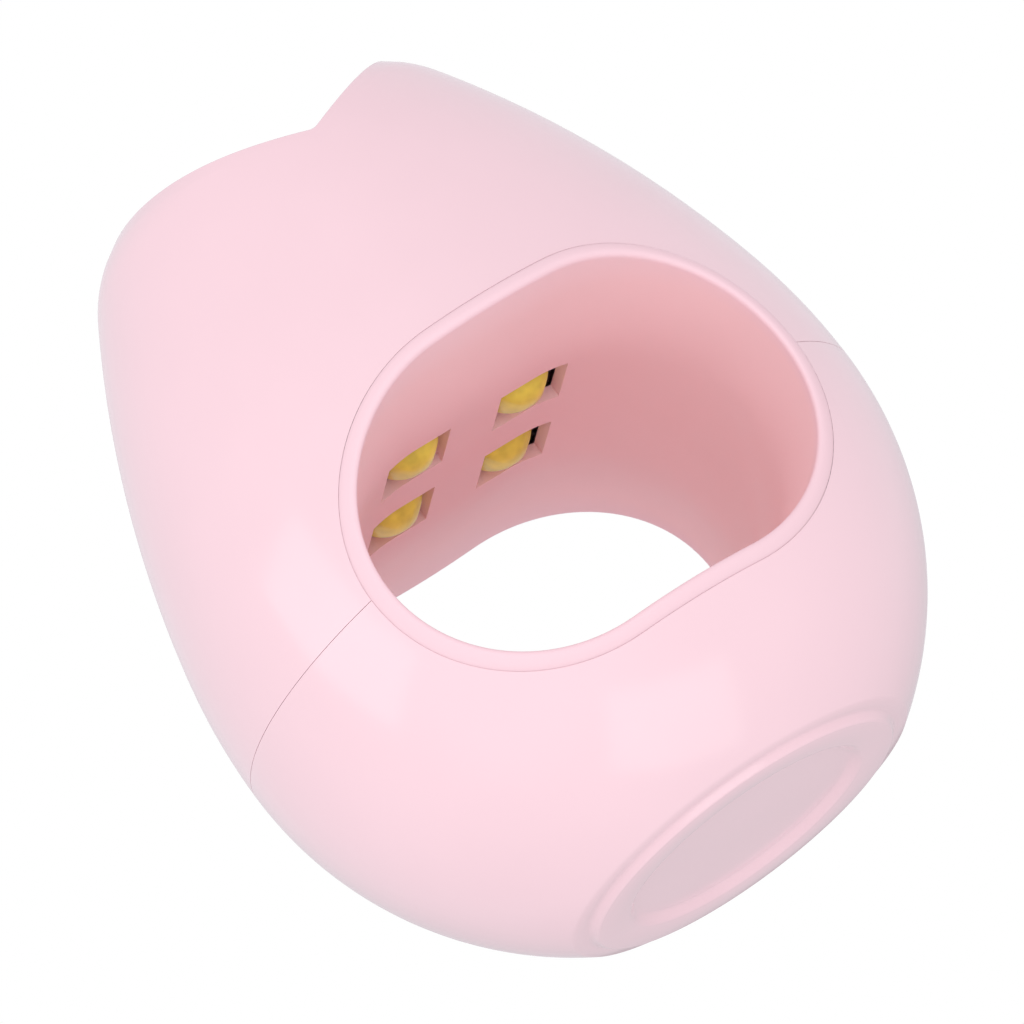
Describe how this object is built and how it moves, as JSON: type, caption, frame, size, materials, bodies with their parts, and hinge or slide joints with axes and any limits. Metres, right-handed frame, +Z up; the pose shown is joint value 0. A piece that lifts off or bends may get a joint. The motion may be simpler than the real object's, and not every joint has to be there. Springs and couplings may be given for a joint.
{
  "type": "nail lamp",
  "caption": "Egg-shaped pink finger lamp for curing nail gel: two shells round a tunnel, emitters in its ceiling and a push button between two ears.",
  "frame": {"origin": "centre of the foot ring's resting plane, on the body's axis", "axes": "+Z up the body's axis from the resting plane, +Y from the front mouth to the rear mouth of the tunnel, +X across the ears"},
  "size_m": [0.08, 0.0758, 0.0937],
  "materials": {
    "shell_pink": "gloss",
    "liner_pink": "gloss",
    "button_pink": "gloss",
    "board_green": "solder mask",
    "board_aluminium": "satin",
    "screw_steel": "zinc plated",
    "package_white": "matte",
    "dome_amber": "satin silicone",
    "connector_white": "matte",
    "wire_red": "satin",
    "wire_black": "satin",
    "chip_black": "matte",
    "lead_tin": "tinned",
    "cover_steel": "satin",
    "plunger_white": "matte",
    "contact_gold": "plated",
    "can_aluminium": "satin",
    "ceramic_tan": "matte"
  },
  "bodies": {
    "housing": {"upper_shell": "shell_pink", "lower_shell": "shell_pink", "tunnel_liner": "liner_pink", "light_board": "board_aluminium", "light_board_screws": "screw_steel", "emitter_packages": "package_white", "emitter_domes": "dome_amber", "light_header": "connector_white", "light_plug": "connector_white", "red_wire": "wire_red", "black_wire": "wire_black", "control_board": "board_green", "control_board_screws": "screw_steel", "switch_body": "chip_black", "switch_cover": "cover_steel", "switch_legs": "lead_tin", "usb_shell": "cover_steel", "usb_tongue": "chip_black", "usb_contacts": "contact_gold", "timer_chip": "chip_black", "timer_chip_legs": "lead_tin", "driver_chip": "chip_black", "driver_chip_legs": "lead_tin", "filter_capacitor": "can_aluminium", "filter_capacitor_base": "chip_black", "ceramic_capacitors": "ceramic_tan", "sense_resistors": "chip_black", "input_diode": "chip_black"},
    "button": {"power_button": "button_pink", "switch_plunger": "plunger_white"}
  },
  "joints": [
    {"name": "button_press", "type": "slide", "parent": "housing", "child": "button", "axis": [0, 0, -1], "range_m": [0, 0.0005], "stiffness_N_per_m": 3000}
  ]
}
